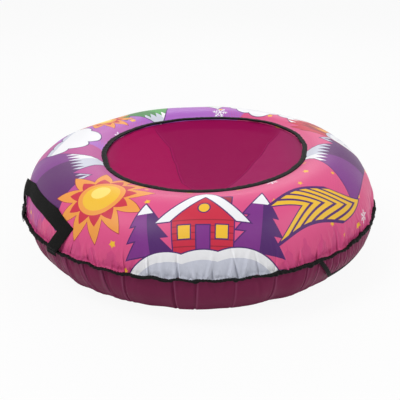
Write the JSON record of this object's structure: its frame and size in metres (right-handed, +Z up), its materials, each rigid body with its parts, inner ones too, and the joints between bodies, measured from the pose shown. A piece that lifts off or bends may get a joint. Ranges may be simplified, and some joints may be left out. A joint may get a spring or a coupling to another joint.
{
  "type": "snow tube",
  "caption": "Inflatable snow tube: a sewn ring cover with a sunken seat panel, webbing handles and an access flap, round an inner tube with its valve",
  "frame": {"origin": "middle of the flat underside, on the ground", "axes": "+Z up; -Y is the side nearest the viewer in the picture; the access flap is at +X -Y"},
  "size_m": [0.9, 0.9, 0.2729],
  "materials": {
    "printed_cloth": "printed coated cloth, slightly glossy",
    "seat_cloth": "coated cloth, satin",
    "base_cloth": "glossy coated cloth",
    "black_tape": "matt woven tape",
    "black_webbing": "matt woven webbing",
    "black_thread": "sewing thread",
    "hook_fastener": "moulded hooks",
    "loop_fastener": "fluffy loops",
    "butyl_rubber": "smooth butyl rubber",
    "brass": "machined",
    "steel": "drawn wire",
    "black_plastic": "moulded",
    "seal_rubber": "plain"
  },
  "bodies": {
    "cover": {"top_cover": "printed_cloth", "seat_panel": "seat_cloth", "seat_binding": "black_tape", "bottom_cover": "base_cloth", "seam_binding": "black_tape", "left_handle_front_end": "black_webbing", "left_handle_rear_end": "black_webbing", "right_handle_front_end": "black_webbing", "right_handle_rear_end": "black_webbing", "left_handle_front_bartack": "black_thread", "left_handle_rear_bartack": "black_thread", "right_handle_front_bartack": "black_thread", "right_handle_rear_bartack": "black_thread", "slot_loop_strip": "loop_fastener", "inner_tube": "butyl_rubber", "valve_base": "butyl_rubber", "valve_stem": "brass", "valve_core": "brass"},
    "left_handle": {"left_handle_loop": "black_webbing"},
    "right_handle": {"right_handle_loop": "black_webbing"},
    "flap": {"access_flap": "base_cloth", "flap_binding": "black_tape", "flap_hook_strip": "hook_fastener"},
    "cap": {"valve_cap": "black_plastic", "valve_cap_seal": "seal_rubber"},
    "core_pin": {"valve_pin": "steel"}
  },
  "joints": [
    {"name": "left_handle_fold", "type": "hinge", "parent": "cover", "child": "left_handle", "pos_m": [-0.37848, -0.22251, 0.14], "axis": [0.5068, -0.8621, 0], "range_deg": [0, 120]},
    {"name": "right_handle_fold", "type": "hinge", "parent": "cover", "child": "right_handle", "pos_m": [0.37848, 0.22251, 0.14], "axis": [-0.5068, 0.8621, 0], "range_deg": [0, 120]},
    {"name": "flap_fold", "type": "hinge", "parent": "cover", "child": "flap", "pos_m": [0.35762, -0.25982, 0.12391], "axis": [-0.5878, -0.809, 0], "range_deg": [0, 80]},
    {"name": "valve_cap_pull", "type": "slide", "parent": "cover", "child": "cap", "axis": [-0.7109, 0.5165, -0.4774], "range_m": [0, 0.014]},
    {"name": "valve_pin_press", "type": "slide", "parent": "cover", "child": "core_pin", "axis": [0.7109, -0.5165, 0.4774], "range_m": [0, 0.001], "stiffness_N_per_m": 600}
  ]
}
